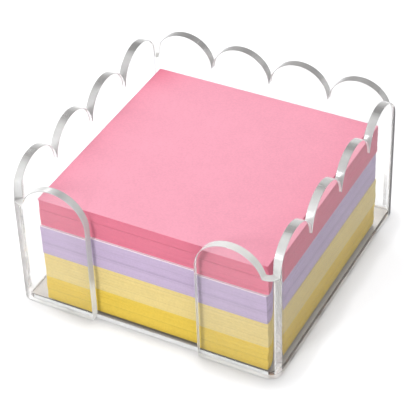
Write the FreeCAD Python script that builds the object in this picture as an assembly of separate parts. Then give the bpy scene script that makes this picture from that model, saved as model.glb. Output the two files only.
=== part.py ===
import FreeCAD, Part
import math
import os
from FreeCAD import Placement, Rotation, Vector

# A clear acrylic tray that holds a cube of loose square note sheets.
# Millimetres: X runs to the right, Y to the back and Z up. The front has the finger notch.
# The origin is the middle of the tray's underside, on the surface that it stands on.

# Note sheets
sheetSize = 89.0          # side of a sheet, 3 1/2 inches
sheetThickness = 0.101    # one sheet of 80 g paper
bundlesPerColour = 5
sheetsPerBundle = {"yellow": 21, "cream": 22, "lavender": 25, "pink": 23}  # from the bottom up

# Room round the stack, from its sides to the tray's inner faces
leftRoom = 7.65
rightRoom = 1.75
frontRoom = 0.3
backRoom = 11.3

# Acrylic strip, bent at four corners into the walls and the two front fingers
wallThickness = 3.2
innerBendRadius = 1.4
wallHeight = 45.2         # level top edge round the bends, where the scallops start

# Scallops along the top of the left, back and right walls, cut before the strip is bent
scallopsPerWall = 4
scallopMargin = 3.0       # from the tray's outer corner to the first scallop
cuspWidth = 0.05          # cut left open at the foot between two scallops

# Fingers on the front, one on each side of the notch
notchWidth = 42.6
fingerHeight = 54.5
fingerMargin = 5.3        # from the tray's outer corner to where the finger's arc starts

# Base plate, bonded inside the strip, with a tongue between the fingers
baseThickness = 2.0
tongueReach = 1.4         # how far the tongue stands forward of the fingers' inner faces
tongueGap = 0.2           # between the tongue and each finger
bondFilm = 0.02           # cement between the plate's edges and the strip

# Worked out from the sizes above
trayWidth = sheetSize + leftRoom + rightRoom + 2 * wallThickness
trayDepth = sheetSize + frontRoom + backRoom + 2 * wallThickness
outerBendRadius = innerBendRadius + wallThickness
bendCentreX = trayWidth / 2 - outerBendRadius
bendCentreY = trayDepth / 2 - outerBendRadius
sideScallopRadius = (trayDepth / 2 - scallopMargin) / scallopsPerWall
backScallopRadius = (trayWidth / 2 - scallopMargin) / scallopsPerWall
blankHeight = max(fingerHeight, wallHeight + sideScallopRadius, wallHeight + backScallopRadius)
cutReach = outerBendRadius + wallThickness   # from a bend's centre to well outside the tray
sheetX = (leftRoom - rightRoom) / 2
sheetY = (frontRoom - backRoom) / 2

rampSteps = 5             # facets on a scallop's end where it runs into a bend


def straight(start, end):
    return Part.LineSegment(start, end).toShape()


def arcThrough(start, middle, end):
    return Part.Arc(start, middle, end).toShape()


def roundedSlab(width, depth, cornerRadius, height):
    # A slab on Z = 0 about the origin, with its upright edges rounded.
    slab = Part.makeBox(width, depth, height, Vector(-width / 2, -depth / 2, 0))
    uprights = [edge for edge in slab.Edges if abs(edge.tangentAt(0).z) > 0.5]
    return slab.makeFillet(cornerRadius, uprights)


def bentBlank():
    # The strip as a closed ring of full height, before its top edge and its notch.
    outside = roundedSlab(trayWidth, trayDepth, outerBendRadius, blankHeight)
    insideWidth = trayWidth - 2 * wallThickness
    insideDepth = trayDepth - 2 * wallThickness
    return outside.cut(roundedSlab(insideWidth, insideDepth, innerBendRadius, blankHeight))


def scallopedOutline(wallLength, radius):
    # A wall seen square on, in the XZ plane about X = 0, with its row of scallops.
    rowStart = -scallopsPerWall * radius
    footHeight = math.sqrt(radius**2 - (radius - cuspWidth / 2) ** 2)
    bottomLeft = Vector(-wallLength / 2, 0, 0)
    bottomRight = Vector(wallLength / 2, 0, 0)
    topLeft = Vector(-wallLength / 2, 0, wallHeight)
    topRight = Vector(wallLength / 2, 0, wallHeight)
    foot = Vector(rowStart, 0, wallHeight)
    edges = [straight(bottomRight, bottomLeft), straight(bottomLeft, topLeft), straight(topLeft, foot)]
    for index in range(scallopsPerWall):
        middle = rowStart + (2 * index + 1) * radius
        crown = Vector(middle, 0, wallHeight + radius)
        isLast = index == scallopsPerWall - 1
        if isLast:
            landing = Vector(middle + radius, 0, wallHeight)
            edges.append(arcThrough(foot, crown, landing))
        else:
            landing = Vector(middle + radius - cuspWidth / 2, 0, wallHeight + footHeight)
            edges.append(arcThrough(foot, crown, landing))
            foot = landing + Vector(cuspWidth, 0, 0)
            edges.append(straight(landing, foot))
    edges += [straight(landing, topRight), straight(topRight, bottomRight)]
    return Part.Face(Part.Wire(edges))


def fingerOutline():
    # The right-hand finger seen square on. Its arc leaves the free edge without a corner,
    # rises to the finger's height and comes down to the level edge before the bend.
    across = trayWidth / 2 - fingerMargin - notchWidth / 2
    rise = fingerHeight - wallHeight
    radius = across + rise - math.sqrt(2 * across * rise)
    bottomInner = Vector(notchWidth / 2, 0, 0)
    bottomOuter = Vector(trayWidth / 2, 0, 0)
    topOuter = Vector(trayWidth / 2, 0, wallHeight)
    arcStart = Vector(notchWidth / 2, 0, fingerHeight - radius)
    arcTop = Vector(notchWidth / 2 + radius, 0, fingerHeight)
    arcEnd = Vector(trayWidth / 2 - fingerMargin, 0, wallHeight)
    return Part.Face(Part.Wire([
        straight(bottomInner, arcStart),
        arcThrough(arcStart, arcTop, arcEnd),
        straight(arcEnd, topOuter),
        straight(topOuter, bottomOuter),
        straight(bottomOuter, bottomInner),
    ]))


def bendSection(centre, angle, height):
    # An upright rectangle across the bend, at this angle round it from the wall's end.
    outward = Vector(math.sin(angle), math.cos(angle), 0)
    near = centre + outward * (innerBendRadius / 2)
    far = centre + outward * cutReach
    up = Vector(0, 0, height)
    return Part.makePolygon([near, far, far + up, near + up, near])


def bendRamps(radius, halfLength, halfAcross):
    # The outer ends of a wall's row of scallops, which run a little way round the bends.
    overrun = outerBendRadius - scallopMargin
    if overrun <= 0:
        return []
    firstTurn = math.acos(1 - overrun / radius)
    centre = Vector(halfLength, halfAcross, 0)
    sections = []
    for step in range(rampSteps + 1):
        turn = firstTurn * (1 - step / rampSteps)
        along = overrun - radius * (1 - math.cos(turn))
        angle = math.asin(along / outerBendRadius)
        sections.append(bendSection(centre, angle, wallHeight + radius * math.sin(turn)))
    ramp = Part.makeLoft(sections, True, True)
    return [ramp, ramp.mirror(Vector(), Vector(1, 0, 0))]


def wallCutters(outlines, halfLength, halfAcross, endRadius, turn):
    # What one wall keeps of the blank, drawn for the back wall and turned into place. The
    # outlines are pushed through the flat of the wall, and the rest goes round its bends.
    flat = Part.makeBox(2 * halfLength, cutReach, blankHeight, Vector(-halfLength, halfAcross, 0))
    cutters = []
    for outline in outlines:
        outline.translate(Vector(0, halfAcross, 0))
        cutters.append(outline.extrude(Vector(0, cutReach, 0)).common(flat))
    if endRadius:
        cutters += bendRamps(endRadius, halfLength, halfAcross)
    corner = Vector(halfLength, halfAcross, 0)
    cutters.append(Part.makeBox(cutReach, cutReach, wallHeight, corner))
    for cutter in cutters:
        cutter.Placement = Placement(Vector(), Rotation(Vector(0, 0, 1), turn)) * cutter.Placement
    return cutters


def wallStrip():
    blank = bentBlank()
    finger = fingerOutline()
    fingers = [finger, finger.mirror(Vector(), Vector(1, 0, 0))]
    left = [scallopedOutline(trayDepth, sideScallopRadius)]
    right = [scallopedOutline(trayDepth, sideScallopRadius)]
    back = [scallopedOutline(trayWidth, backScallopRadius)]
    cutters = wallCutters(back, bendCentreX, bendCentreY, backScallopRadius, 0)
    cutters += wallCutters(left, bendCentreY, bendCentreX, sideScallopRadius, 90)
    cutters += wallCutters(fingers, bendCentreX, bendCentreY, 0, 180)
    cutters += wallCutters(right, bendCentreY, bendCentreX, sideScallopRadius, -90)
    kept = [blank.common(cutter) for cutter in cutters]
    return kept[0].multiFuse(kept[1:]).removeSplitter()


def basePlate():
    inset = wallThickness + bondFilm
    plateWidth = trayWidth - 2 * inset
    plateDepth = trayDepth - 2 * inset
    plate = roundedSlab(plateWidth, plateDepth, innerBendRadius - bondFilm, baseThickness)
    tongueWidth = notchWidth - 2 * tongueGap
    tongueFront = -trayDepth / 2 + wallThickness - tongueReach
    corner = Vector(-tongueWidth / 2, tongueFront, 0)
    tongue = Part.makeBox(tongueWidth, tongueReach + wallThickness, baseThickness, corner)
    return plate.fuse(tongue).removeSplitter()


def sheetBlock(bottom, thickness):
    corner = Vector(sheetX - sheetSize / 2, sheetY - sheetSize / 2, bottom)
    return Part.makeBox(sheetSize, sheetSize, thickness, corner)


def sheetStack():
    # The bundles from the base plate up, and the loose sheet that lies on top of them.
    pieces = {}
    level = baseThickness
    for colour, sheets in sheetsPerBundle.items():
        for number in range(1, bundlesPerColour + 1):
            pieces[f"{colour}_bundle_{number}"] = sheetBlock(level, sheets * sheetThickness)
            level += sheets * sheetThickness
    pieces["top_sheet"] = sheetBlock(level, sheetThickness)
    return pieces


nodes = {"wall_strip": wallStrip(), "base_plate": basePlate()}
nodes.update(sheetStack())

os.makedirs("parts", exist_ok=True)
for name, shape in nodes.items():
    solid = shape.Solids[0]
    solid.exportStep(f"parts/{name}.step")
    box = solid.BoundBox
    print(f"{name}: solids {len(shape.Solids)}, valid {solid.isValid()}, {solid.Volume:.2f} mm3,")
    print(f"    Z {box.ZMin:.3f} to {box.ZMax:.3f}")
print(f"tray {trayWidth:.2f} x {trayDepth:.2f}, blank {blankHeight:.3f} mm")
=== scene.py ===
import math

import bmesh
import bpy
from mathutils import Matrix, Vector


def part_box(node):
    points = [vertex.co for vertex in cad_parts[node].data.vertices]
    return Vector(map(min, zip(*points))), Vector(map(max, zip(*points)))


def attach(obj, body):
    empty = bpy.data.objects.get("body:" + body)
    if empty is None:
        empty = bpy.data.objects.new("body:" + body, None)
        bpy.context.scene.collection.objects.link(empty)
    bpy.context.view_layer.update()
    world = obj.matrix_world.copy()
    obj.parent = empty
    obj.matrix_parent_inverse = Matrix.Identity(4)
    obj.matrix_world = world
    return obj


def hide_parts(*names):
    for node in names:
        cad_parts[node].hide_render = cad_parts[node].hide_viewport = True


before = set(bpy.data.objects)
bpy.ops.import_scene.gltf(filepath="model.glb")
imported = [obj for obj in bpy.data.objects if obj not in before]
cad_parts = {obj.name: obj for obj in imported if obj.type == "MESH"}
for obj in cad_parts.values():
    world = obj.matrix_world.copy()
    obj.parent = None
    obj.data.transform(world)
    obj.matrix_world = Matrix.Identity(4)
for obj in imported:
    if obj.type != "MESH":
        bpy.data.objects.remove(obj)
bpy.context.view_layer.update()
print("frame loaded")

mm = 0.001               # sizes below are in millimetres unless noted, and meshes are in metres
samePlace = 1e-6         # two places closer than this are one
noiseRange = (0.35, 0.65)    # where most of a noise texture's values lie


# helpers for node trees and objects

def addNode(tree, kind, **settings):
    node = tree.nodes.new(kind)
    for name, value in settings.items():
        setattr(node, name, value)
    return node


def setInputs(node, **values):
    for name, value in values.items():
        node.inputs[name].default_value = value


def feed(tree, value, socket):
    # a number or a colour is set on the socket, and another node's output is linked to it
    if isinstance(value, (int, float)):
        socket.default_value = value
    elif isinstance(value, tuple):
        socket.default_value = (*value, 1)
    else:
        tree.links.new(value, socket)


def maths(tree, operation, first, second=0.0, clamp=False):
    node = addNode(tree, "ShaderNodeMath", operation=operation, use_clamp=clamp)
    feed(tree, first, node.inputs[0])
    feed(tree, second, node.inputs[1])
    return node.outputs["Value"]


def mapRange(tree, value, low, high, toLow=0.0, toHigh=1.0):
    node = addNode(tree, "ShaderNodeMapRange")
    setInputs(node, **{"From Min": low, "From Max": high, "To Min": toLow, "To Max": toHigh})
    tree.links.new(value, node.inputs["Value"])
    return node.outputs["Result"]


def addNoise(tree, place, scale, detail=1.0, roughness=0.5):
    noise = addNode(tree, "ShaderNodeTexNoise")
    setInputs(noise, Scale=scale, Detail=detail, Roughness=roughness)
    tree.links.new(place, noise.inputs["Vector"])
    return noise


def addNoiseAlong(tree, length, scale, detail=1.0):
    noise = addNode(tree, "ShaderNodeTexNoise", noise_dimensions="1D")
    setInputs(noise, Scale=scale, Detail=detail)
    tree.links.new(length, noise.inputs["W"])
    return noise


def addBump(tree, height, strength, distance):
    bump = addNode(tree, "ShaderNodeBump")
    setInputs(bump, Strength=strength, Distance=distance)
    tree.links.new(height, bump.inputs["Height"])
    return bump.outputs["Normal"]


def attribute(tree, name):
    return addNode(tree, "ShaderNodeAttribute", attribute_name=name).outputs["Fac"]


def addShader(tree, kind, colour, **values):
    shader = addNode(tree, kind)
    feed(tree, colour, shader.inputs["Color"])
    setInputs(shader, **values)
    return shader


def mixShaders(tree, share, first, second):
    node = addNode(tree, "ShaderNodeMixShader")
    tree.links.new(share, node.inputs["Fac"])
    tree.links.new(first, node.inputs[1])
    tree.links.new(second, node.inputs[2])
    return node.outputs["Shader"]


def mixColours(tree, share, first, second):
    node = addNode(tree, "ShaderNodeMix", data_type="RGBA")
    tree.links.new(share, node.inputs["Factor"])
    feed(tree, first, node.inputs["A"])
    feed(tree, second, node.inputs["B"])
    return node.outputs["Result"]


def newMaterial(name):
    material = bpy.data.materials.new(name)
    material.use_nodes = True
    material.node_tree.nodes.clear()
    return material, material.node_tree


def showSurface(tree, surface):
    output = addNode(tree, "ShaderNodeOutputMaterial")
    tree.links.new(surface, output.inputs["Surface"])
    return output


def newObject(name, data, *materials):
    piece = bpy.data.objects.new(name, data)
    bpy.context.collection.objects.link(piece)
    for material in materials:
        if material.name not in data.materials:
            data.materials.append(material)
    return piece


# clear acrylic

wallDepth = {
    "tint": (0.43, 0.43, 0.43),  # what is left of white light in a deep block
    "density": 3.5,
}
plateDepth = {                   # partly real loss of light caught inside the plate against the paper on it, partly painted shade: the brown tint stands in for the warm shade at the pile's foot
    "tint": (0.34, 0.22, 0.13),
    "density": 30.0,
}
acrylicFace = {
    "name": "acrylicFace",
    "tint": (0.987, 0.99, 0.988),
    "clearness": 1.0,
    "index": 1.49,
    "roughness": 0.012,
    "calm": (0.4, 0.72),         # share of the face that mirrors nothing, square on and at a slant
    "slantShine": (0.05, 0.15),  # how strongly it mirrors where the slant begins and where it is full
    "insideShine": 0.6,          # and where the light can't leave the sheet, so nothing is calm
    "outline": (0.33, 0.325, 0.325),   # painted dark line where a bend is seen at a slant, in place of the darker surroundings seen in it
    "paintedOutlineSlant": (0.42, 0.62),      # from where to where the painted outline comes in, 0 is square on
    "openBend": 0.65,            # share of a bend that light goes straight through
    "openRange": (0.2, 0.4),     # at how strong a bend that begins, and is full
    "lampShade": (0.98, 0.98, 0.98),   # lamp light that one face lets through into the shadow
    "softShade": (0.97, 0.97, 0.97),   # and soft light from all round
    "waveScale": 22.0,           # slow waviness of the cast sheet, per metre
    "waveHeight": 0.001,
    "depth": wallDepth,
}
acrylicPlate = {
    **acrylicFace,
    "name": "acrylicPlate",
    "lampShade": (0.97, 0.96, 0.95),
    "softShade": (0.86, 0.79, 0.70),
    "depth": plateDepth,
}
acrylicCutEdge = {
    **acrylicFace,
    "name": "acrylicCutEdge",
    "tint": (0.98, 0.985, 0.98),
    "clearness": 0.6,            # the saw leaves the rest of the edge frosted
    "roughness": 0.15,
    "calm": (0.0, 0.0),
    "paintedEdgeShade": (0.13, 0.12, 0.115),       # painted shade, where the edge would gather little light
    "patchScale": 0.16,          # patches of the painted shade along the edge, per millimetre
    "patchSpread": 0.16,
    "lampShade": (0.85, 0.85, 0.85),
    "softShade": (0.8, 0.8, 0.8),
    "waveScale": 1.3,            # cutting marks across the edge, per millimetre
    "waveHeight": 0.05,
    "glow": 0.12,                # painted glow: the edge shines of itself, in place of light the sheet gathers and lets out there
}


def wavyFace(tree, look):
    place = addNode(tree, "ShaderNodeTexCoord")
    waves = addNoise(tree, place.outputs["Object"], look["waveScale"])
    return addBump(tree, waves.outputs["Fac"], look["waveHeight"], mm)


def cuttingMarks(tree, look, along):
    marks = addNoiseAlong(tree, along, look["waveScale"])
    return addBump(tree, marks.outputs["Fac"], look["waveHeight"], mm)


def cutEdgeColour(tree, look, along):
    # painted shade where the edge would gather little light, in patches along it
    patches = addNoiseAlong(tree, along, look["patchScale"])
    half = look["patchSpread"] / 2
    patch = mapRange(tree, patches.outputs["Fac"], *noiseRange, -half, half)
    level = maths(tree, "ADD", attribute(tree, "paintedEdgeLight"), patch, clamp=True)
    return mixColours(tree, level, look["paintedEdgeShade"], look["tint"])


def calmShare(tree, look):
    # the share that mirrors nothing, which grows with the slant
    mirrored = addNode(tree, "ShaderNodeFresnel")
    setInputs(mirrored, IOR=look["index"])
    shine = mirrored.outputs["Fac"]
    leaves = maths(tree, "LESS_THAN", shine, look["insideShine"])
    share = mapRange(tree, shine, *look["slantShine"], *look["calm"])
    return maths(tree, "MULTIPLY", leaves, share)


def bendShown(tree, look, surface):
    # a bend lets light straight through and gets a painted dark outline where it is seen at a slant
    bent = attribute(tree, "bent")
    opened = mapRange(tree, bent, *look["openRange"], 0.0, look["openBend"])
    straight = addNode(tree, "ShaderNodeBsdfTransparent")
    clearer = mixShaders(tree, opened, surface, straight.outputs["BSDF"])
    facing = addNode(tree, "ShaderNodeLayerWeight")
    slant = mapRange(tree, facing.outputs["Facing"], *look["paintedOutlineSlant"])
    paintedDarkLine = addShader(tree, "ShaderNodeBsdfDiffuse", look["outline"])
    return mixShaders(tree, maths(tree, "MULTIPLY", bent, slant), clearer, paintedDarkLine.outputs["BSDF"])


def clearAcrylic(look, isCutEdge):
    material, tree = newMaterial(look["name"])
    body = addNode(tree, "ShaderNodeBsdfPrincipled")
    setInputs(body, IOR=look["index"], Roughness=look["roughness"])
    setInputs(body, **{"Base Color": (*look["tint"], 1), "Transmission Weight": look["clearness"]})
    if isCutEdge:
        along = attribute(tree, "alongCut")
        normal = cuttingMarks(tree, look, along)
        tree.links.new(cutEdgeColour(tree, look, along), body.inputs["Base Color"])
        # the cut edge glows of itself: painted glow
        setInputs(body, **{"Emission Color": (*look["tint"], 1), "Emission Strength": look["glow"]})
    else:
        normal = wavyFace(tree, look)
    tree.links.new(normal, body.inputs["Normal"])
    bending = addShader(tree, "ShaderNodeBsdfRefraction", look["tint"],
                        IOR=look["index"], Roughness=look["roughness"])
    tree.links.new(normal, bending.inputs["Normal"])
    seen = mixShaders(tree, calmShare(tree, look), body.outputs["BSDF"], bending.outputs["BSDF"])
    if not isCutEdge:
        seen = bendShown(tree, look, seen)
    ray = addNode(tree, "ShaderNodeLightPath")
    for kind, shade in (("Is Diffuse Ray", "softShade"), ("Is Shadow Ray", "lampShade")):
        passing = addShader(tree, "ShaderNodeBsdfTransparent", look[shade])  # light goes straight on
        seen = mixShaders(tree, ray.outputs[kind], seen, passing.outputs["BSDF"])
    output = showSurface(tree, seen)
    inside = addShader(tree, "ShaderNodeVolumeAbsorption", look["depth"]["tint"],
                       Density=look["depth"]["density"])
    tree.links.new(inside.outputs["Volume"], output.inputs["Volume"])
    return material


# sheets of acrylic with softened cut edges
# An outline is a closed list of (inset point, normal): the cut edge's own line is the inset point
# moved along its normal by the edge's rounding. Neighbours with one inset point turn a corner.

def edgeRings(thickness, rounding):
    # how far out and how deep each ring round the cut edge lies, from one face to the other
    near = []
    quarters = (0, 0.32, 0.66, 1)  # parts of the turn from the face to the cut
    for quarter in quarters:
        angle = quarter * math.pi / 2
        near.append((math.sin(angle), rounding * (1 - math.cos(angle))))
    return near + [(out, thickness - depth) for out, depth in reversed(near)]


def insetPoints(outline):
    # the inset points without repeats, and which of them each entry of the outline has
    insets = []
    insetOf = []
    for point, normal in outline:
        if not insets or (Vector(point) - Vector(insets[-1])).length > samePlace:
            insets.append(point)
        insetOf.append(len(insets) - 1)
    return insets, insetOf


def noPaintedEdgeShade(along):
    return 1.0


def noBend(along):
    return 0.0


def cutSheet(name, outline, thickness, rounding, materials, place, faces, paintedEdgeLightAt=noPaintedEdgeShade, bends=noBend):
    # place(u, v, depth) is a point of the sheet, faces(insets) lists each flat face's inset points,
    # the light-level function gives the cut edge's painted light at u, lower where shade is painted, and
    # bends(u) how dark a bend's painted outline is
    mesh = bmesh.new()
    alongCut = mesh.verts.layers.float.new("alongCut")
    paintedEdgeLight = mesh.verts.layers.float.new("paintedEdgeLight")
    bent = mesh.verts.layers.float.new("bent")
    rings = edgeRings(thickness, rounding)
    insets, insetOf = insetPoints(outline)
    loops = []
    for number, (out, depth) in enumerate(rings):
        if number in (0, len(rings) - 1):
            made = [mesh.verts.new(place(*point, depth)) for point in insets]
            loops.append([made[index] for index in insetOf])
        else:
            reach = rounding * out
            loops.append([
                mesh.verts.new(place(point[0] + reach * normal[0], point[1] + reach * normal[1], depth))
                for point, normal in outline
            ])
    travelled = 0
    for index, (here, normal) in enumerate(outline):
        if index:
            travelled += (Vector(here) - Vector(outline[index - 1][0])).length
        for loop in loops:
            loop[index][alongCut] = travelled
            loop[index][paintedEdgeLight] = paintedEdgeLightAt(here[0])
            loop[index][bent] = bends(here[0])
    for upper, lower in zip(loops, loops[1:]):
        for index in range(len(outline)):
            after = (index + 1) % len(outline)
            corners = [upper[index], upper[after], lower[after], lower[index]]
            if corners[0] == corners[1]:
                corners.pop(0)
            elif corners[2] == corners[3]:
                corners.pop()
            mesh.faces.new(corners).material_index = 1
    first = dict(zip(insetOf, loops[0]))
    last = dict(zip(insetOf, loops[-1]))
    for face in faces(insets):
        mesh.faces.new([first[index] for index in reversed(face)])
        mesh.faces.new([last[index] for index in face])
    bmesh.ops.remove_doubles(mesh, verts=mesh.verts, dist=samePlace)
    bmesh.ops.dissolve_degenerate(mesh, edges=mesh.edges, dist=samePlace / 10)
    bmesh.ops.recalc_face_normals(mesh, faces=mesh.faces)
    for face in mesh.faces:
        face.smooth = True
    data = bpy.data.meshes.new(name)
    mesh.to_mesh(data)
    mesh.free()
    piece = newObject(name, data, *materials)
    even = piece.modifiers.new("even shading", "WEIGHTED_NORMAL")
    even.keep_sharp = False
    return piece


def turnRound(centre, radius, start, end, steps):
    # (point, normal) at even steps of angle in radians, and a negative radius gives the near side
    made = []
    for step in range(steps + 1):
        angle = start + (end - start) * step / steps
        normal = (math.cos(angle), math.sin(angle))
        made.append(((centre[0] + radius * normal[0], centre[1] + radius * normal[1]), normal))
    return made


def insideCorner(corner, rounding, start, end, steps):
    # the way round a corner that points into the sheet, from one normal to the next
    return turnRound(corner, -rounding, start, end, steps)


# the bent strip: two fingers, three scalloped walls

stripShape = {
    "wall": 3.2,
    "innerBend": 1.4,
    "cuspHeight": 45.2,      # level edge round the bends, and the foot of each scallop
    "scallops": 4,
    "scallopMargin": 3.0,    # from the tray's outer corner to the first scallop
    "cuspGap": 0.05,         # between two scallops where their cuts meet
    "notchWidth": 42.6,
    "fingerHeight": 54.5,
    "fingerMargin": 5.3,     # from the tray's outer corner to where the finger's arc ends
    "edgeRound": 0.22,
    "outlines": (0.4, 0.35, 1.0, 0.12),   # how dark each bend's painted outline is, clockwise from the front left
    "outlineReach": 1.3,     # on past the bend's ends
    "outlineFade": 0.5,      # over which it comes in
    "arcSteps": 30,
    "cornerSteps": 5,
    "levelStep": 0.4,        # longest stretch of level edge over a bend
}
# Painted shade on a wall's cut edges, where they would gather less light: the direction of the cut in
# degrees from the row's start, how far to each side, how much less light is painted, and how suddenly
paintedShadeOnCuts = {
    "left": (82, 22, 0.95, 2),
    "back": (98, 54, 0.85, 4),
    "right": (97, 19, 0.85, 2),
}
# and spots of painted shade on the left finger and its bend: how far from the free edge, how wide, how much
# less light
paintedShadeSpots = [(10.0, 2.4, 0.45), (23.0, 3.0, 0.15), (30.2, 1.5, 0.85)]


def stripRuns(shape, halfWidth, halfDepth):
    # the strip's outer face from the left finger's free edge round to the right finger's: a flat
    # with its length, start and heading, or a bend with its length, centre and first angle
    bend = shape["innerBend"] + shape["wall"]
    flatX = halfWidth - bend
    flatY = halfDepth - bend
    turn = bend * math.pi / 2
    halfNotch = shape["notchWidth"] / 2
    return [
        ("flat", flatX - halfNotch, Vector((-halfNotch, -halfDepth)), Vector((-1, 0))),
        ("bend", turn, Vector((-flatX, -flatY)), -90),
        ("flat", 2 * flatY, Vector((-halfWidth, -flatY)), Vector((0, 1))),
        ("bend", turn, Vector((-flatX, flatY)), 180),
        ("flat", 2 * flatX, Vector((-flatX, halfDepth)), Vector((1, 0))),
        ("bend", turn, Vector((flatX, flatY)), 90),
        ("flat", 2 * flatY, Vector((halfWidth, flatY)), Vector((0, -1))),
        ("bend", turn, Vector((flatX, -flatY)), 0),
        ("flat", flatX - halfNotch, Vector((flatX, -halfDepth)), Vector((-1, 0))),
    ]


def stripTop(shape, rows, total, halfWidth):
    # the cut edge along the top: a finger, the three rows of scallops and the other finger
    top = fingerEdge(shape, halfWidth)
    otherFinger = [((total - u, v), (-nu, nv)) for (u, v), (nu, nv) in reversed(top)]
    for name, rowStart, radius in rows:
        top += levelEdge(top[-1][0][0], rowStart - shape["edgeRound"], shape)
        top += scallopRow(rowStart, radius, shape)
    top += levelEdge(top[-1][0][0], otherFinger[0][0][0], shape)
    return top + otherFinger


def stripBottom(top, total, rounding):
    # down the last finger, back under the top edge's own columns and up to where the top starts
    ends = rounding, total - rounding
    bottom = [((u, rounding), (0, -1)) for (u, v), normal in reversed(top) if ends[0] < u < ends[1]]
    diagonal = math.sqrt(0.5)
    right = (total - rounding, rounding)
    left = (rounding, rounding)
    rightTurn = [(right, (1, 0)), (right, (diagonal, -diagonal)), (right, (0, -1))]
    leftTurn = [(left, (0, -1)), (left, (-diagonal, -diagonal)), (left, (-1, 0))]
    return rightTurn + bottom + leftTurn


def bentStrip(shape, materials):
    low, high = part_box("wall_strip")
    halfWidth = (high.x - low.x) / 2 / mm
    halfDepth = (high.y - low.y) / 2 / mm
    bend = shape["innerBend"] + shape["wall"]
    rounding = shape["edgeRound"]
    runs = stripRuns(shape, halfWidth, halfDepth)
    starts = [0]
    for run in runs:
        starts.append(starts[-1] + run[1])
    rows = []
    for name, number, half in (("left", 2, halfDepth), ("back", 4, halfWidth), ("right", 6, halfDepth)):
        middle = (starts[number] + starts[number + 1]) / 2
        radius = (half - shape["scallopMargin"]) / shape["scallops"]
        rows.append((name, middle - shape["scallops"] * radius, radius))
    top = stripTop(shape, rows, starts[-1], halfWidth)
    outline = top + stripBottom(top, starts[-1], rounding)

    def place(along, height, depth):
        number = 0
        while number < len(runs) - 1 and along > starts[number + 1]:
            number += 1
        kind, length, origin, heading = runs[number]
        if kind == "flat":
            inward = Vector((heading.y, -heading.x))
            flat = origin + heading * (along - starts[number]) + inward * depth
        else:
            angle = math.radians(heading) - (along - starts[number]) / bend
            flat = origin + Vector((math.cos(angle), math.sin(angle))) * (bend - depth)
        return Vector((flat.x, flat.y, height)) * mm

    def columns(insets):
        # the tall faces between the top edge and the bottom edge
        isTop = [v > rounding + samePlace for u, v in insets]
        below = {round(u, 5): index for index, (u, v) in enumerate(insets) if not isTop[index]}
        tops = [index for index in range(len(insets)) if isTop[index]]
        made = []
        for index, after in zip(tops, tops[1:]):
            left, right = below[round(insets[index][0], 5)], below[round(insets[after][0], 5)]
            made.append([index, after, right] if left == right else [index, after, right, left])
        return made

    def paintedEdgeLightAt(along):
        for name, rowStart, radius in rows:
            direction, spread, loss, sharpness = paintedShadeOnCuts[name]
            across = (along - rowStart) / radius
            if 0 < across < 2 * shape["scallops"]:
                facing = math.degrees(math.acos(1 - across % 2))
                return 1 - loss * math.exp(-abs((facing - direction) / spread) ** sharpness)
        return 1 - sum(loss * math.exp(-((along - spot) / spread) ** 2) for spot, spread, loss in paintedShadeSpots)

    def bends(along):
        for number, strength in zip((1, 3, 5, 7), shape["outlines"]):
            inside = min(along - starts[number], starts[number + 1] - along) + shape["outlineReach"]
            if inside > 0:
                return strength * min(1, inside / shape["outlineFade"])
        return 0.0

    return cutSheet("bentStrip", outline, shape["wall"], rounding, materials, place, columns, paintedEdgeLightAt, bends)


def fingerEdge(shape, halfWidth):
    # the left finger's cut edge on the flat strip, from its free edge's foot to the bend
    across = halfWidth - shape["fingerMargin"] - shape["notchWidth"] / 2
    rise = shape["fingerHeight"] - shape["cuspHeight"]
    radius = across + rise - math.sqrt(2 * across * rise)
    centre = (radius, shape["fingerHeight"] - radius)
    fall = math.asin((shape["cuspHeight"] - centre[1]) / radius)
    rounding = shape["edgeRound"]
    edge = turnRound(centre, radius - rounding, math.pi, fall, shape["arcSteps"] * 2)
    corner = (across, shape["cuspHeight"])
    edge += insideCorner(corner, rounding, fall, math.pi / 2, shape["cornerSteps"])[1:]
    return edge


def levelEdge(start, end, shape):
    # the straight cut over a bend, in steps short enough to bend smoothly
    steps = max(1, math.ceil((end - start) / shape["levelStep"]))
    height = shape["cuspHeight"] - shape["edgeRound"]
    return [((start + (end - start) * step / steps, height), (0, 1)) for step in range(1, steps)]


def scallopRow(rowStart, radius, shape):
    rounding = shape["edgeRound"]
    foot = shape["cuspHeight"]
    steps = shape["cornerSteps"]
    meet = math.acos(1 - shape["cuspGap"] / 2 / radius)  # where two neighbours' cuts meet
    rowEnd = rowStart + 2 * shape["scallops"] * radius
    edge = insideCorner((rowStart, foot), rounding, math.pi / 2, math.pi, steps)
    for number in range(shape["scallops"]):
        centre = (rowStart + (2 * number + 1) * radius, foot)
        isFirst = number == 0
        isLast = number == shape["scallops"] - 1
        start = math.pi if isFirst else math.pi - meet
        end = 0 if isLast else meet
        edge += turnRound(centre, radius - rounding, start, end, shape["arcSteps"])[1:]
        if not isLast:
            cusp = (centre[0] + radius, foot + radius * math.sin(meet))
            edge += insideCorner(cusp, rounding, meet, math.pi - meet, steps * 2)
    edge += insideCorner((rowEnd, foot), rounding, 0, math.pi / 2, steps)[1:]
    return edge


# base plate with its tongue

plateShape = {
    "corner": 1.38,
    "tongueGap": 0.2,        # between the tongue and each finger
    "plateFront": -50.28,    # the plate's own front edge, behind the fingers
    "edgeRound": 0.2,
    "cornerSteps": 8,
    "innerSteps": 3,         # round the corners where the tongue starts
    "skin": 0.01,            # a face no further than this from the top or the bottom is part of it
}


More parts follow.
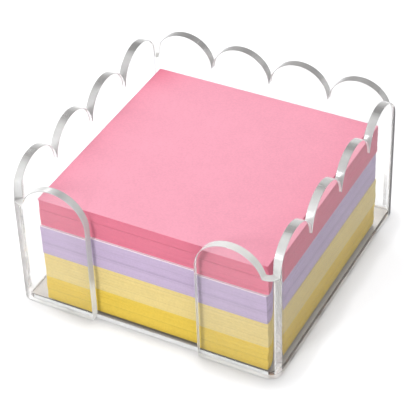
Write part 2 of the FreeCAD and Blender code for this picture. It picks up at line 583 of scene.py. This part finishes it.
def plateOutline(shape, left, right, back, tip, half):
    # clockwise from the back left corner, seen from above
    front = shape["plateFront"]
    rounding = shape["edgeRound"]
    corner = shape["corner"]
    bend = corner - rounding
    quarter = math.pi / 2
    outline = []
    for centre, start in (
        ((left + corner, back - corner), 2 * quarter),
        ((right - corner, back - corner), quarter),
        ((right - corner, front + corner), 0),
    ):
        outline += turnRound(centre, bend, start, start - quarter, shape["cornerSteps"])
    outline += insideCorner((half, front), rounding, -quarter, 0, shape["innerSteps"])
    for side, turns in ((1, (0, -0.5, -1)), (-1, (-1, -1.5, -2))):
        inset = (side * (half - rounding), tip + rounding)
        for turn in turns:
            outline.append((inset, (math.cos(turn * quarter), math.sin(turn * quarter))))
    outline += insideCorner((-half, front), rounding, 2 * quarter, 3 * quarter, shape["innerSteps"])
    outline += turnRound((left + corner, front + corner), bend, 3 * quarter, 2 * quarter,
                         shape["cornerSteps"])
    return outline


def basePlate(shape, strip, materials):
    low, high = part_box("base_plate")
    half = strip["notchWidth"] / 2 - shape["tongueGap"]
    outline = plateOutline(shape, low.x / mm, high.x / mm, high.y / mm, low.y / mm, half)
    thickness = (high.z - low.z) / mm

    def place(across, along, depth):
        return Vector((across, along, high.z / mm - depth)) * mm

    def oneFace(insets):
        return [list(range(len(insets)))]

    plate = cutSheet("basePlate", outline, thickness, shape["edgeRound"], materials, place, oneFace)
    front = shape["plateFront"] * mm
    skin = shape["skin"] * mm
    for face in plate.data.polygons:  # only the tongue's edge is open, the rest is bonded to the strip
        if face.center.y > front or face.center.z > high.z - skin or face.center.z < low.z + skin:
            face.material_index = 0
    return plate


# note paper

# each paper's face colour, and its edge colour on the pile's sides, where the richer light passing between
# the sheets is painted in: painted light and shade
paperLooks = {
    "yellow": {"face": (0.90, 0.66, 0.10), "edge": (0.92, 0.675, 0.108)},
    "cream": {"face": (0.90, 0.74, 0.33), "edge": (0.92, 0.745, 0.318)},
    "lavender": {"face": (0.72, 0.60, 0.82), "edge": (0.66, 0.53, 0.72)},
    "pink": {"face": (0.885, 0.378, 0.487), "edge": (0.86, 0.24, 0.34)},
}
paperFinish = {
    "roughness": 0.88,
    "sheen": 0.2,
    "paintedHighlight": (0.95, 0.87, 0.95),   # painted highlight on the few top sheets of a pile, whose front edges catch the light
    "sheetSpread": 0.12,     # how far one sheet's tone is from the next
    "cloudScale": 70.0,      # slow clouds in the pulp, per metre
    "cloudDetail": 5.0,
    "cloudRoughness": 0.7,
    "cloudDepth": 0.07,
    "fibreScale": 1400.0,
    "fibreDetail": 2.0,
    "fibreDepth": 0.09,
    "tooth": 0.25,
    "toothHeight": 0.04,
    "plainTone": 0.5,        # a sheet's tone in full light
    "shadedTone": 0.0,       # and where a few sheets together lie in shade
}


def notePaper(colour, look, finish):
    material, tree = newMaterial(colour + "Paper")
    place = addNode(tree, "ShaderNodeTexCoord")
    split = addNode(tree, "ShaderNodeSeparateXYZ")
    tree.links.new(place.outputs["Normal"], split.inputs["Vector"])
    # sides take the edge colour with its painted light from between the sheets, and the painted shade near
    # the walls turns the top towards it too
    upright = maths(tree, "ABSOLUTE", split.outputs["Z"])
    flat = maths(tree, "SUBTRACT", upright, attribute(tree, "paintedNearWallShade"), clamp=True)
    colours = mixColours(tree, flat, look["edge"], look["face"])
    # the painted highlight for the top few sheets
    base = mixColours(tree, attribute(tree, "paintedHighlightSheet"), colours, finish["paintedHighlight"])
    clouds = addNoise(tree, place.outputs["Object"], finish["cloudScale"], finish["cloudDetail"],
                      finish["cloudRoughness"])
    fibres = addNoise(tree, place.outputs["Object"], finish["fibreScale"], finish["fibreDetail"])
    level = 1.0
    for source, depth in (
        (clouds.outputs["Fac"], finish["cloudDepth"]),
        (fibres.outputs["Fac"], finish["fibreDepth"]),
        (attribute(tree, "sheetTone"), finish["sheetSpread"]),
    ):
        level = maths(tree, "ADD", level, mapRange(tree, source, 0.0, 1.0, -depth, depth))
    toned = addNode(tree, "ShaderNodeVectorMath", operation="SCALE")
    tree.links.new(base, toned.inputs["Vector"])
    tree.links.new(level, toned.inputs["Scale"])
    normal = addBump(tree, fibres.outputs["Fac"], finish["tooth"], finish["toothHeight"] * mm)
    body = addNode(tree, "ShaderNodeBsdfPrincipled")
    setInputs(body, **{"Roughness": finish["roughness"], "Specular IOR Level": finish["sheen"]})
    tree.links.new(toned.outputs["Vector"], body.inputs["Base Color"])
    tree.links.new(normal, body.inputs["Normal"])
    showSurface(tree, body.outputs["BSDF"])
    return material


stackShape = {
    "side": 88.8,
    "gap": 0.006,            # between one sheet and the next
    "drift": 0.07,           # how far the pile wanders from sheet to sheet
    "jitter": 0.03,          # how far one sheet slips on its own
    "step": 0.15,            # how far one bundle stands out from the next
    "turn": 0.15,            # degrees that a sheet turns within the pile
}
# each colour's sheets as they lie: shift to the right and back in millimetres, turn in degrees, seed
stackPlaces = {
    "yellow": {"sheets": 105, "shift": (0.0, 0.05), "turn": 0.05, "seed": 3},
    "cream": {"sheets": 110, "shift": (0.1, 0.12), "turn": -0.08, "seed": 11},
    "lavender": {"sheets": 125, "shift": (-0.1, -0.04), "turn": 0.04, "seed": 23, "paintedHighlightSheets": 4},
    "pink": {"sheets": 115, "shift": (0.1, 0.55), "turn": 0.06, "seed": 31},
}
pileNature = {
    "divisions": 5,          # points along a sheet's side
    "driftPace": 0.09,       # how far the slow drift moves on from one sheet to the next
    "driftSeed": 7.3,
    "driftLayer": 0.5,
    "driftDetail": 2.0,
    "shadePace": 0.25,       # and the shade between the sheets
    "shadeSeed": 3.1,
    "shadeLayer": 9.5,
    "shadeDetail": 1.0,
    "shadeRange": (0.60, 0.70),  # noise level where shade begins, and is full
    "ownTone": 0.08,         # share of a sheet's tone that is its own
    "ownTurn": 0.25,         # and of its turn
    "seeds": {"across": 100, "along": 200, "turn": 300, "tone": 400, "bundle": 50},
}


def sheetTree(nature, finish):
    # lays sheets one on another, each a little out of line with the last
    tree = bpy.data.node_groups.new("noteSheets", "GeometryNodeTree")
    tree.interface.new_socket("Geometry", in_out="OUTPUT", socket_type="NodeSocketGeometry")
    sockets = {}
    for label, kind in (
        ("Sheets", "Int"), ("Side", "Float"), ("Pitch", "Float"), ("Gap", "Float"),
        ("Bottom", "Vector"), ("Drift", "Float"), ("Jitter", "Float"),
        ("Bundle Sheets", "Int"), ("Bundle Step", "Float"), ("Painted Highlight Sheets", "Int"),
        ("Turn", "Float"), ("Pile Turn", "Float"), ("Seed", "Int"), ("Paper", "Material"),
    ):
        made = tree.interface.new_socket(label, in_out="INPUT", socket_type="NodeSocket" + kind)
        sockets[label] = made.identifier
    given = addNode(tree, "NodeGroupInput").outputs
    index = addNode(tree, "GeometryNodeInputIndex").outputs["Index"]
    seeds = nature["seeds"]
    link = tree.links.new

    def plus(first, second):
        return maths(tree, "ADD", first, second)

    def less(first, second):
        return maths(tree, "SUBTRACT", first, second)

    def times(first, second):
        return maths(tree, "MULTIPLY", first, second)

    def vector(x, y, z):
        node = addNode(tree, "ShaderNodeCombineXYZ")
        for socket, value in zip(node.inputs, (x, y, z)):
            feed(tree, value, socket)
        return node.outputs["Vector"]

    def slowNoise(name):
        # much the same for near neighbours
        spot = vector(times(index, nature[name + "Pace"]), times(given["Seed"], nature[name + "Seed"]),
                      nature[name + "Layer"])
        return addNoise(tree, spot, 1.0, nature[name + "Detail"])

    def own(seedStep, member=index):
        # a number from -1 to 1 for each sheet, or for each bundle
        node = addNode(tree, "FunctionNodeRandomValue", data_type="FLOAT")
        node.inputs[2].default_value = -1
        node.inputs[3].default_value = 1
        link(member, node.inputs["ID"])
        link(plus(given["Seed"], seedStep), node.inputs["Seed"])
        return node.outputs[1]

    def store(name, value, geometry):
        node = addNode(tree, "GeometryNodeStoreNamedAttribute", data_type="FLOAT", domain="INSTANCE")
        node.inputs["Name"].default_value = name
        link(value, node.inputs["Value"])
        link(geometry, node.inputs["Geometry"])
        return node.outputs["Geometry"]

    # a line of points, one for each sheet's middle
    pile = addNode(tree, "GeometryNodeMeshLine")
    link(given["Sheets"], pile.inputs["Count"])
    middle = addNode(tree, "ShaderNodeVectorMath", operation="ADD")
    link(given["Bottom"], middle.inputs[0])
    link(vector(0, 0, times(given["Pitch"], 0.5)), middle.inputs[1])
    link(middle.outputs["Vector"], pile.inputs["Start Location"])
    link(vector(0, 0, given["Pitch"]), pile.inputs["Offset"])

    # slow drift, each sheet's own slip and each bundle's step
    slide = addNode(tree, "ShaderNodeVectorMath", operation="SUBTRACT")
    slide.inputs[1].default_value = (0.5, 0.5, 0.5)
    link(slowNoise("drift").outputs["Color"], slide.inputs[0])
    slideParts = addNode(tree, "ShaderNodeSeparateXYZ")
    link(slide.outputs["Vector"], slideParts.inputs["Vector"])
    bundle = maths(tree, "FLOOR", maths(tree, "DIVIDE", index, given["Bundle Sheets"]))

    def shift(part, seedStep):
        slow = times(slideParts.outputs[part], times(given["Drift"], 2))
        quick = times(own(seedStep), given["Jitter"])
        step = times(own(seedStep + seeds["bundle"], bundle), given["Bundle Step"])
        return plus(plus(slow, quick), step)

    moved = addNode(tree, "GeometryNodeSetPosition")
    link(pile.outputs["Mesh"], moved.inputs["Geometry"])
    link(vector(shift("X", seeds["across"]), shift("Y", seeds["along"]), 0), moved.inputs["Offset"])

    sheet = addNode(tree, "GeometryNodeMeshCube")
    setInputs(sheet, **{"Vertices X": nature["divisions"], "Vertices Y": nature["divisions"]})
    link(vector(given["Side"], given["Side"], less(given["Pitch"], given["Gap"])), sheet.inputs["Size"])
    laid = addNode(tree, "GeometryNodeInstanceOnPoints")
    link(moved.outputs["Geometry"], laid.inputs["Points"])
    link(sheet.outputs["Mesh"], laid.inputs["Instance"])
    turned = plus(slideParts.outputs["Z"], times(own(seeds["turn"]), nature["ownTurn"]))
    link(vector(0, 0, plus(times(turned, given["Turn"]), given["Pile Turn"])), laid.inputs["Rotation"])

    # each sheet's tone, with a few sheets together here and there that lie in shade
    inShade = mapRange(tree, slowNoise("shade").outputs["Fac"], *nature["shadeRange"],
                       finish["plainTone"], finish["shadedTone"])
    tone = plus(inShade, times(own(seeds["tone"]), nature["ownTone"]))
    toned = store("sheetTone", tone, laid.outputs["Instances"])
    # the top few sheets of a pile carry a painted highlight
    firstPaintedHighlight = less(given["Sheets"], given["Painted Highlight Sheets"])
    isPaintedHighlight = maths(tree, "GREATER_THAN", plus(index, 0.5), firstPaintedHighlight)
    real = addNode(tree, "GeometryNodeRealizeInstances")
    link(store("paintedHighlightSheet", isPaintedHighlight, toned), real.inputs["Geometry"])
    dressed = addNode(tree, "GeometryNodeSetMaterial")
    link(real.outputs["Geometry"], dressed.inputs["Geometry"])
    link(given["Paper"], dressed.inputs["Material"])
    result = addNode(tree, "NodeGroupOutput")
    link(dressed.outputs["Geometry"], result.inputs["Geometry"])
    return tree, sockets


def growMesh(name, tree, sockets, values, material):
    # runs the tree once and keeps what it makes as a plain mesh
    carrier = newObject(name + "Carrier", bpy.data.meshes.new(name + "Carrier"))
    modifier = carrier.modifiers.new("grow", "NODES")
    modifier.node_group = tree
    for label, value in values.items():
        modifier[sockets[label]] = value
    bpy.context.view_layer.update()
    grown = carrier.evaluated_get(bpy.context.evaluated_depsgraph_get())
    mesh = bpy.data.meshes.new_from_object(grown)
    mesh.name = name
    carrier.modifiers.remove(modifier)
    bpy.data.objects.remove(carrier)
    return newObject(name, mesh, material)


def bundlesOf(colour):
    return [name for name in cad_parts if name.startswith(colour + "_bundle_")]


def boxOf(colour):
    # the box round all of a colour's bundles
    boxes = [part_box(name) for name in bundlesOf(colour)]
    low = Vector([min(box[0][axis] for box in boxes) for axis in range(3)])
    high = Vector([max(box[1][axis] for box in boxes) for axis in range(3)])
    return low, high


def sheetPile(colour, tree, sockets, shape, pile, material):
    low, high = boxOf(colour)
    centre = (low + high) / 2
    values = {
        "Sheets": pile["sheets"],
        "Side": shape["side"] * mm,
        "Pitch": (high.z - low.z) / pile["sheets"],
        "Gap": shape["gap"] * mm,
        "Bottom": Vector((centre.x + pile["shift"][0] * mm, centre.y + pile["shift"][1] * mm, low.z)),
        "Drift": shape["drift"] * mm,
        "Jitter": shape["jitter"] * mm,
        "Bundle Sheets": pile["sheets"] // len(bundlesOf(colour)),
        "Bundle Step": shape["step"] * mm,
        "Painted Highlight Sheets": pile.get("paintedHighlightSheets", 0),
        "Turn": math.radians(shape["turn"]),
        "Pile Turn": math.radians(pile["turn"]),
        "Seed": pile["seed"],
        "Paper": material,
    }
    return growMesh(colour + "Sheets", tree, sockets, values, material)


# the loose sheet on top

looseShape = {
    "side": 88.9,
    "thickness": 0.095,
    "rest": 0.004,           # clear of the pile below
    "shift": (0.0, 0.1),
    "turn": 0.0,
    "wave": 0.05,            # how high the sheet waves
    "waveTurns": (0.11, 0.085),  # radians per millimetre to the right and to the back
    "waveStart": 0.8,
    "steps": 48,
    # painted shade near the walls, where their rims shade the sheet: how much, and over how many millimetres
    # from the edge
    "paintedWallShade": {"left": (0.40, 7.0), "back": (0.12, 8.0), "right": (0.30, 14.0)},
    "paintedCornerShade": (0.55, 11.0),   # and painted shade round the back left corner
}


# how much painted shade the loose sheet takes near the walls and round the back left corner
def paintedNearWallShade(shape, across, along):
    half = shape["side"] / 2
    away = {"left": half + across, "back": half - along, "right": half - across}
    much, reach = shape["paintedCornerShade"]
    paintedShadeLevel = much * math.exp(-(math.hypot(away["left"], away["back"]) / reach) ** 2)
    for side, (much, reach) in shape["paintedWallShade"].items():
        paintedShadeLevel += much * math.exp(-max(0, away[side]) / reach)
    return min(1, paintedShadeLevel)


def looseSheet(shape, finish, material):
    low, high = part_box("top_sheet")
    middle = (low + high) / 2
    steps = shape["steps"]
    turn = math.radians(shape["turn"])
    mesh = bmesh.new()
    tone = mesh.verts.layers.float.new("sheetTone")
    paintedShadeLevel = mesh.verts.layers.float.new("paintedNearWallShade")

    def corner(column, row, level):
        across = (column / steps - 0.5) * shape["side"]
        along = (row / steps - 0.5) * shape["side"]
        swell = math.sin(across * shape["waveTurns"][0] + shape["waveStart"])
        swell *= math.cos(along * shape["waveTurns"][1])
        x = middle.x / mm + shape["shift"][0] + across * math.cos(turn) - along * math.sin(turn)
        y = middle.y / mm + shape["shift"][1] + across * math.sin(turn) + along * math.cos(turn)
        z = low.z / mm + shape["rest"] + level + shape["wave"] * (0.5 + 0.5 * swell)
        return mesh.verts.new(Vector((x, y, z)) * mm)

    under, over = ([[corner(column, row, level) for column in range(steps + 1)] for row in range(steps + 1)]
                   for level in (0, shape["thickness"]))
    for row in range(steps):
        for column in range(steps):
            mesh.faces.new([over[row][column], over[row][column + 1],
                            over[row + 1][column + 1], over[row + 1][column]])
            mesh.faces.new([under[row][column], under[row + 1][column],
                            under[row + 1][column + 1], under[row][column + 1]])
    rim = [(0, column) for column in range(steps)] + [(row, steps) for row in range(steps)]
    rim += [(steps, column) for column in range(steps, 0, -1)] + [(row, 0) for row in range(steps, 0, -1)]
    for (row, column), (nextRow, nextColumn) in zip(rim, rim[1:] + rim[:1]):
        mesh.faces.new([under[row][column], under[nextRow][nextColumn],
                        over[nextRow][nextColumn], over[row][column]])
    for vert in mesh.verts:
        vert[tone] = finish["plainTone"]
        vert[paintedShadeLevel] = paintedNearWallShade(shape, (vert.co.x - middle.x) / mm, (vert.co.y - middle.y) / mm)
    bmesh.ops.recalc_face_normals(mesh, faces=mesh.faces)
    data = bpy.data.meshes.new("looseSheet")
    mesh.to_mesh(data)
    mesh.free()
    return newObject("looseSheet", data, material)


# making the pieces

face = clearAcrylic(acrylicFace, False)
cutEdge = clearAcrylic(acrylicCutEdge, True)
insidePlate = clearAcrylic(acrylicPlate, False)
strip = bentStrip(stripShape, [face, cutEdge])
plate = basePlate(plateShape, stripShape, [insidePlate, cutEdge])
for piece, node in ((strip, "wall_strip"), (plate, "base_plate")):
    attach(piece, "tray")
    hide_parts(node)
print("acrylic tray made")

papers = {colour: notePaper(colour, look, paperFinish) for colour, look in paperLooks.items()}
tree, sockets = sheetTree(pileNature, paperFinish)
for colour, pile in stackPlaces.items():
    piece = sheetPile(colour, tree, sockets, stackShape, pile, papers[colour])
    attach(piece, colour + "_block")
    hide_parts(*bundlesOf(colour))
    print(colour, "sheets laid:", pile["sheets"])

loose = looseSheet(looseShape, paperFinish, papers["pink"])
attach(loose, "loose_sheet")
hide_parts("top_sheet")
print("loose sheet made")


# floor, light and camera

stageSetup = {
    "floorSize": 4.0,        # metres, as are all places here
    "floorDrop": 0.0001,
    "floorColour": (0.242, 0.244, 0.249),   # as it throws light back on the tray
    "seenColour": (0.35, 0.35, 0.355),      # as it shows
    "floorLamp": 5.9,        # lights the floor alone
    "floorLampSpread": 13.0,     # degrees across, for soft shade
    "floorLampFrom": (-0.045, 0.04, 1.0),
    "glow": (0.07, 0.19),    # near and far, where the other lamps' light falls off
    "glowRange": (0.2, 1.2),     # from the tray's middle
    "worldLevel": 0.48,
    "bounces": 128,          # light crosses many faces of acrylic
}
lampSetup = {
    "keyLamp": {"power": 2.7, "size": 0.45, "from": (-0.60, 0.32, 0.50)},
    "topLamp": {"power": 2.8, "size": 0.7, "from": (0.0, 0.1, 1.0)},
    "fillLamp": {"power": 4.6, "size": 0.3, "from": (-0.35, -0.95, 0.45)},
}
lampAim = Vector((0, 0, 0.03))   # the middle of the paper


def seenRay(tree):
    # 1 for the rays that show the background: the camera's own, and those off gloss and through glass
    ray = addNode(tree, "ShaderNodeLightPath").outputs
    bounced = maths(tree, "MAXIMUM", ray["Is Glossy Ray"], ray["Is Transmission Ray"])
    return maths(tree, "MAXIMUM", ray["Is Camera Ray"], bounced)


def paleFloor(setup):
    half = setup["floorSize"] / 2
    height = -setup["floorDrop"]
    mesh = bpy.data.meshes.new("floor")
    corners = [(-half, -half, height), (half, -half, height), (half, half, height), (-half, half, height)]
    mesh.from_pydata(corners, [], [(0, 1, 2, 3)])
    material, tree = newMaterial("paleFloor")
    matte = addShader(tree, "ShaderNodeBsdfDiffuse", setup["floorColour"])
    shadowed = addShader(tree, "ShaderNodeBsdfDiffuse", setup["seenColour"])
    glow = addShader(tree, "ShaderNodeEmission", (1.0, 1.0, 1.0))
    place = addNode(tree, "ShaderNodeTexCoord")
    away = addNode(tree, "ShaderNodeVectorMath", operation="LENGTH")
    tree.links.new(place.outputs["Object"], away.inputs[0])
    strength = mapRange(tree, away.outputs["Value"], *setup["glowRange"], *setup["glow"])
    tree.links.new(strength, glow.inputs["Strength"])
    both = addNode(tree, "ShaderNodeAddShader")
    tree.links.new(shadowed.outputs["BSDF"], both.inputs[0])
    tree.links.new(glow.outputs["Emission"], both.inputs[1])
    showSurface(tree, mixShaders(tree, seenRay(tree), matte.outputs["BSDF"], both.outputs["Shader"]))
    floor = newObject("floor", mesh, material)
    return floor


def whiteWorld(setup):
    world = bpy.data.worlds.new("studio")
    bpy.context.scene.world = world
    world.use_nodes = True
    tree = world.node_tree
    tree.nodes.clear()
    seen = addShader(tree, "ShaderNodeBackground", (1.0, 1.0, 1.0))
    lit = addShader(tree, "ShaderNodeBackground", (1.0, 1.0, 1.0), Strength=setup["worldLevel"])
    either = mixShaders(tree, seenRay(tree), lit.outputs["Background"], seen.outputs["Background"])
    output = addNode(tree, "ShaderNodeOutputWorld")
    tree.links.new(either, output.inputs["Surface"])


def newLamp(name, kind, energy, heading):
    lamp = bpy.data.lights.new(name, kind)
    lamp.energy = energy
    holder = bpy.data.objects.new(name, lamp)
    bpy.context.collection.objects.link(holder)
    holder.rotation_euler = heading.to_track_quat("-Z", "Y").to_euler()
    return lamp, holder


def softLamp(name, setup):
    place = Vector(setup["from"])
    lamp, holder = newLamp(name, "AREA", setup["power"], lampAim - place)
    lamp.shape = "DISK"
    lamp.size = setup["size"]
    holder.location = place


def floorLamp(setup, floor):
    # even light for the floor alone, with the shade that the paper leaves on it
    lamp, holder = newLamp("floorLamp", "SUN", setup["floorLamp"], -Vector(setup["floorLampFrom"]))
    lamp.angle = math.radians(setup["floorLampSpread"])
    lit = bpy.data.collections.new("lit by the floor lamp")
    lit.objects.link(floor)
    holder.light_linking.receiver_collection = lit


cameraSetup = {
    "azimuth": 28.529,       # degrees that it looks round from straight back
    "elevation": 38.504,
    "roll": -2.127,
    "distance": 626.37,      # from the tray's foot along the line of sight
    "right": -1.81,          # where it aims, right of and above the tray's foot as it sees them
    "up": 16.45,
    "lens": 142.19,
    "sensor": 36.0,
    "nearest": 10.0,         # anything closer isn't shown
}


def studioCamera(setup):
    azimuth, elevation, roll = (math.radians(setup[name]) for name in ("azimuth", "elevation", "roll"))
    ahead = Vector((-math.sin(azimuth) * math.cos(elevation), math.cos(azimuth) * math.cos(elevation),
                    -math.sin(elevation)))
    level = Vector((math.cos(azimuth), math.sin(azimuth), 0))
    above = level.cross(ahead)
    right = level * math.cos(roll) + above * math.sin(roll)
    up = above * math.cos(roll) - level * math.sin(roll)
    data = bpy.data.cameras.new("camera")
    data.lens = setup["lens"]
    data.sensor_width = setup["sensor"]
    data.clip_start = setup["nearest"] * mm
    camera = bpy.data.objects.new("camera", data)
    bpy.context.collection.objects.link(camera)
    place = (right * setup["right"] + up * setup["up"] - ahead * setup["distance"]) * mm
    turned = Matrix((right, up, -ahead)).transposed().to_4x4()
    camera.matrix_world = Matrix.Translation(place) @ turned
    bpy.context.scene.camera = camera


floorLamp(stageSetup, paleFloor(stageSetup))
whiteWorld(stageSetup)
for name, lamp in lampSetup.items():
    softLamp(name, lamp)
studioCamera(cameraSetup)
bpy.context.scene.view_settings.view_transform = "Standard"
rays = bpy.context.scene.cycles
rays.max_bounces = stageSetup["bounces"]
rays.transmission_bounces = stageSetup["bounces"]
rays.glossy_bounces = stageSetup["bounces"]
print("stage set")
